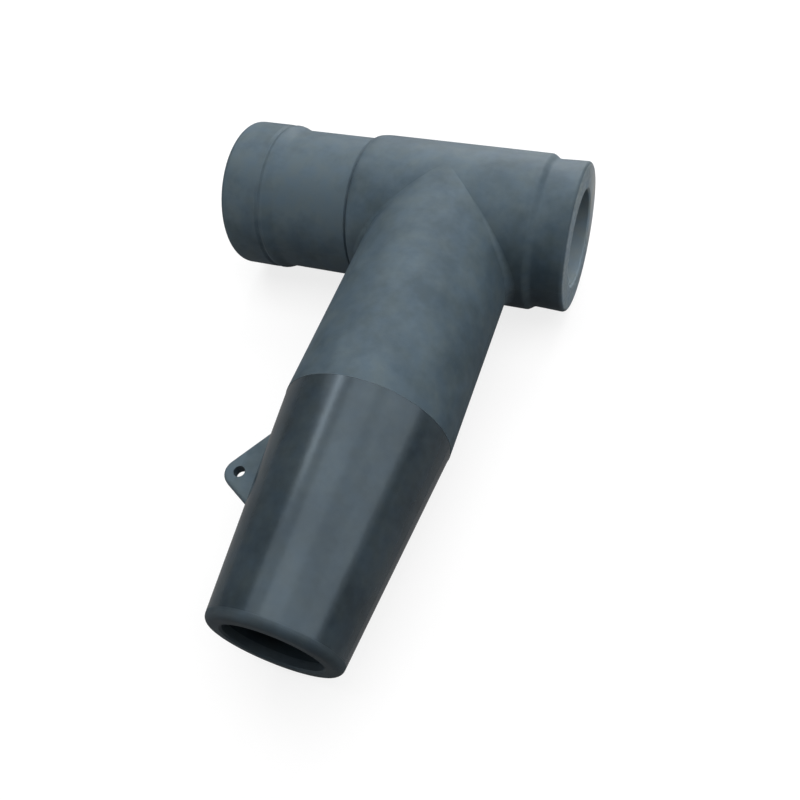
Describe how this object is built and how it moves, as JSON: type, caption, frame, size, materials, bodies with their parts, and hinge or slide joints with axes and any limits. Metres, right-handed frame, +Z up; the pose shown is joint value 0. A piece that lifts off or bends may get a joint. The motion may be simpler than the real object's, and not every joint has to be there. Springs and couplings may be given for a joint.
{
  "type": "elbow surge arrester",
  "caption": "Moulded rubber tee-bodied elbow surge arrester: a bushing socket, a rear socket, a tapered leg that holds the varistor module, and a ground eye.",
  "frame": {"origin": "centre of the line contact's hole, where the barrel's axis crosses the leg's", "axes": "+X along the barrel towards the rear end, the leg along -Y, +Z up with the part lying on its back"},
  "size_m": [0.2125, 0.317, 0.091],
  "materials": {
    "epdm": "moulded conductive rubber, matt, with a smoother lower leg",
    "tinned_copper": "tin plated",
    "electrode_aluminium": "turned",
    "steel": "stainless",
    "zinc_oxide": "sintered, glazed rim",
    "glass_fibre": "wound glass fibre in epoxy",
    "seal": "moulded"
  },
  "bodies": {
    "root": {"housing": "epdm", "line_contact": "tinned_copper", "top_electrode": "electrode_aluminium", "top_seal": "seal", "disc_spring_upper": "steel", "disc_spring_lower": "steel", "pressure_plate": "electrode_aluminium", "varistor_1": "zinc_oxide", "varistor_2": "zinc_oxide", "varistor_3": "zinc_oxide", "varistor_4": "zinc_oxide", "varistor_5": "zinc_oxide", "spacer": "electrode_aluminium", "bottom_electrode": "electrode_aluminium", "bottom_seal": "seal", "module_tube": "glass_fibre", "top_pin_1": "steel", "top_pin_2": "steel", "top_pin_3": "steel", "bottom_pin_1": "steel", "bottom_pin_2": "steel", "bottom_pin_3": "steel", "earth_stud": "steel", "earth_washer": "steel", "earth_lock_washer": "steel", "earth_nut": "steel"}
  },
  "joints": []
}
